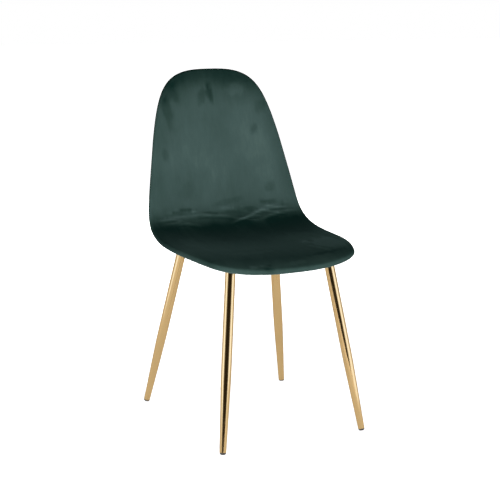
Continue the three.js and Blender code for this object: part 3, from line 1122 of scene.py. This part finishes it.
def plywood():
    made, tree, shader = material("plywood_birch", Roughness=0.6)
    grain = noise_texture(tree, texture_place(tree, (12, 1, 1)), scale=18, detail=6, roughness=0.65)
    stops = [(0.25, (0.36, 0.22, 0.11)), (0.55, (0.58, 0.40, 0.22)), (0.8, (0.68, 0.50, 0.30))]
    paint_by(tree, shader, grain, stops)
    bump(tree, shader, grain, strength=0.2, distance=0.0004)
    return made


def gold():
    tint = (0.55, 0.5, 0.42, 1)
    made, tree, shader = material("gold_plated", Metallic=1.0, Roughness=0.14, Specular_Tint=tint)
    tone = noise_texture(tree, texture_place(tree, (1, 1, 0.12)), scale=14, detail=3)
    paint_by(tree, shader, tone, [(0.2, (0.395, 0.265, 0.118)), (0.8, (0.45, 0.31, 0.146))])
    polish = noise_texture(tree, texture_place(tree, (1, 1, 0.05)), scale=420, detail=4, roughness=0.6)
    tree.links.new(stretch(tree, polish, GOLD_ROUGHNESS), shader.inputs["Roughness"])
    bump(tree, shader, polish, strength=0.05, distance=0.0001)
    return made


def zinc():
    made, tree, shader = material("zinc_plated", Metallic=1.0, Roughness=0.35)
    spangle = noise_texture(tree, texture_place(tree, EVEN), scale=300, detail=4)
    paint_by(tree, shader, spangle, [(0.3, (0.42, 0.43, 0.45)), (0.7, (0.60, 0.61, 0.62))])
    bump(tree, shader, spangle, strength=0.1, distance=0.0001)
    return made


def glide_plastic():
    made, tree, shader = material("glide_black_plastic", Roughness=0.5)
    grain = noise_texture(tree, texture_place(tree, EVEN), scale=1200, detail=3)
    paint_by(tree, shader, grain, [(0.3, (0.010, 0.009, 0.008)), (0.7, (0.022, 0.020, 0.018))])
    bump(tree, shader, grain, strength=0.2, distance=0.0001)
    return made


def glowing_floor():
    """Pale floor that glows with light of its own, more away from the chair, as a lit studio sweep does."""
    made, tree, shader = material("glowing_floor", Roughness=0.9, Emission_Color=(1, 1, 1, 1))
    tone = noise_texture(tree, texture_place(tree, EVEN), scale=3, detail=2)
    paint_by(tree, shader, tone, [(0.3, (0.78, 0.78, 0.78)), (0.7, (0.82, 0.82, 0.82))])
    distance = add(tree, "ShaderNodeVectorMath", operation="LENGTH")
    tree.links.new(texture_place(tree, EVEN), distance.inputs[0])
    glow = stretch(tree, distance.outputs["Value"], FLOOR_GLOW, FLOOR_GLOW_START, FLOOR_GLOW_END)
    tree.links.new(glow, shader.inputs["Emission Strength"])
    return made


# ---- Stage ----

AIM = Vector((-0.0064, -0.0148, 0.4315))
CAMERA_AZIMUTH = -26.35
CAMERA_ELEVATION = 11.33
CAMERA_DISTANCE = 3.0283
LENS = 87.11
SENSOR = 36
FLOOR_SIZE = 60

Softbox = namedtuple("Softbox", "name azimuth elevation power")
SOFTBOXES = [Softbox("key", -20, 8, 260), Softbox("back_fill", 168, 9, 130)]
SOFTBOX_DISTANCE = 3.5
SOFTBOX_SIZE = 1.6

# The sky from the horizon up, as it lights the chair and as polished metal mirrors it
SKY_LIGHT = [(0.0, (1, 1, 1)), (0.15, (0.8, 0.8, 0.8)), (0.45, (0.08, 0.08, 0.08))]
SKY_MIRRORED = [(0.0, (0.6, 0.6, 0.6)), (0.5, (0.9, 0.9, 0.9)), (0.9, (0.4, 0.4, 0.4))]
# A colour mix node's sockets
MIX_FACTOR, MIX_FIRST, MIX_SECOND, MIX_RESULT = 0, 6, 7, 2

CARD_DISTANCE = 1.7
CARD_BOTTOM = 0.001
CARD_STEPS = 12
CARD_SHADE = 0.9
Card = namedtuple("Card", "name azimuths top colour strength")
CARDS = [
    Card("dark_card", (-62, 6), 3.5, (0.050, 0.044, 0.028), 1),
    Card("light_card_right", (18, 62), 1.5, (0.85, 1.0, 1.35), 3.0),
    Card("light_card_left", (-112, -76), 1.5, (0.85, 1.0, 1.35), 3.0),
]


def direction(azimuth, elevation):
    """Unit vector from the chair towards azimuth (0 is straight in front) and elevation, in degrees."""
    turn, rise = math.radians(azimuth), math.radians(elevation)
    return Vector((math.sin(turn) * math.cos(rise), -math.cos(turn) * math.cos(rise), math.sin(rise)))


def make_camera():
    data = bpy.data.cameras.new("camera")
    data.lens = LENS
    data.sensor_width = SENSOR
    camera = linked("camera", data)
    back = direction(CAMERA_AZIMUTH, CAMERA_ELEVATION)
    camera.location = AIM + back * CAMERA_DISTANCE
    camera.rotation_euler = (-back).to_track_quat("-Z", "Y").to_euler()
    bpy.context.scene.camera = camera


def make_softbox(name, azimuth, elevation, power):
    data = bpy.data.lights.new(name, "AREA")
    data.shape = "SQUARE"
    data.size = SOFTBOX_SIZE
    data.energy = power
    lamp = linked(name, data)
    way = direction(azimuth, elevation)
    lamp.location = AIM + way * SOFTBOX_DISTANCE
    lamp.rotation_euler = way.to_track_quat("Z", "Y").to_euler()
    lamp.visible_camera = False
    lamp.visible_glossy = False


def make_floor():
    corner = FLOOR_SIZE / 2
    points = [(-corner, -corner, 0), (corner, -corner, 0), (corner, corner, 0), (-corner, corner, 0)]
    floor = new_object("floor", points, [(0, 1, 2, 3)])
    floor.data.materials.append(glowing_floor())


def make_world():
    """Dim overhead for the cloth, and bright enough all round for the polished legs to mirror."""
    world = bpy.data.worlds.new("studio")
    bpy.context.scene.world = world
    world.use_nodes = True
    tree = world.node_tree
    place = add(tree, "ShaderNodeTexCoord")
    split = add(tree, "ShaderNodeSeparateXYZ")
    tree.links.new(place.outputs["Generated"], split.inputs["Vector"])
    lit = ramp(tree, split.outputs["Z"], SKY_LIGHT)
    mirrored = ramp(tree, split.outputs["Z"], SKY_MIRRORED)
    mixed = add(tree, "ShaderNodeMix", data_type="RGBA")
    tree.links.new(add(tree, "ShaderNodeLightPath").outputs["Is Glossy Ray"], mixed.inputs[MIX_FACTOR])
    tree.links.new(lit, mixed.inputs[MIX_FIRST])
    tree.links.new(mirrored, mixed.inputs[MIX_SECOND])
    tree.links.new(mixed.outputs[MIX_RESULT], tree.nodes["Background"].inputs["Color"])


def card_material(name, colour, strength):
    made, tree, shader = material(
        name, Roughness=1.0, Specular_IOR_Level=0.0, Base_Color=(0, 0, 0, 1), Emission_Strength=strength,
    )
    tone = noise_texture(tree, texture_place(tree, EVEN), scale=3, detail=2)
    shade = ramp(tree, tone, [(0.3, tuple(CARD_SHADE * part for part in colour)), (0.7, colour)])
    tree.links.new(shade, shader.inputs["Emission Color"])
    return made


def make_card(name, azimuths, top, colour, strength):
    """A curved card on the floor round the chair that only the legs' reflections show."""
    ways = [direction(turn, 0) * CARD_DISTANCE for turn in np.linspace(*azimuths, CARD_STEPS + 1)]
    points = [way + Vector((0, 0, z)) for z in (CARD_BOTTOM, top) for way in ways]
    above = CARD_STEPS + 1
    faces = [(step, step + 1, step + above + 1, step + above) for step in range(CARD_STEPS)]
    card = new_object(name, points, faces)
    card.data.materials.append(card_material(name, colour, strength))
    card.visible_camera = False
    card.visible_diffuse = False
    card.visible_shadow = False


# ---- Assembly ----


def finish_piece(piece, nodes, finish):
    """Gives a piece its material, puts it under the root body and hides the CAD nodes that it replaces."""
    piece.data.materials.clear()
    piece.data.materials.append(finish)
    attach(piece, "root")
    if nodes:
        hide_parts(*nodes)


VELVET = velvet()
FOAM = foam()
WADDING = wadding()
PLYWOOD = plywood()
GOLD = gold()
ZINC = zinc()
GLIDE = glide_plastic()

shanks, barrels, flanges = fastener_holes()
shell = cut(plywood_shell(), [rods(barrels, BARREL_HOLE), rods(flanges, FLANGE_RECESS)])
front_foam = cut(foam_layer("front_foam_pad", FRONT), [rods(flanges, FLANGE_RECESS)])
rear_foam = cut(foam_layer("rear_foam_pad", BACK), [rods(barrels, BARREL_HOLE)])
rear = velvet_cover("rear_cover_velvet", BACK, [], rear_pile_and_painted_light)
rear_cover = cut(rear, [rods(shanks, COVER_HOLE)])
front_cover = velvet_cover("front_cover_velvet", FRONT, FOLDS, front_pile_and_painted_light)
finish_piece(shell, ["inner_shell"], PLYWOOD)
finish_piece(front_foam, ["front_foam"], FOAM)
finish_piece(rear_foam, ["rear_foam"], WADDING)
finish_piece(front_cover, ["front_cover"], VELVET)
finish_piece(rear_cover, ["rear_cover"], VELVET)

for end, leg in LEGS.items():
    for hand, side in SIDES.items():
        name = f"{end}_{hand}"
        plate = plate_frame(leg, side)
        stand = leg_frame(leg, side, plate)
        inside = stand.inverted() @ plate
        finish_piece(leg_tube(f"tube_{name}", stand, inside), [f"leg_tube_{name}"], GOLD)
        finish_piece(leg_plate(f"plate_{name}", plate), [f"leg_plate_{name}"], GOLD)
        finish_piece(weld(f"weld_{name}", stand, inside), [], GOLD)
        finish_piece(foot_glide(f"glide_{name}", stand), [f"foot_glide_{name}"], GLIDE)
        for index, hole in enumerate(hole_places(), 1):
            spot = plate @ Matrix.Translation(hole)
            screw = bolt(f"screw_{name}_{index}", spot)
            finish_piece(screw, [f"bolt_{name}_{index}"], ZINC)
            nut = tee_nut(f"nut_{name}_{index}", spot, nut_top(leg))
            finish_piece(nut, [f"tee_nut_{name}_{index}"], ZINC)

make_floor()
make_world()
for card in CARDS:
    make_card(*card)
for box in SOFTBOXES:
    make_softbox(*box)
make_camera()
bpy.context.scene.view_settings.view_transform = "Standard"
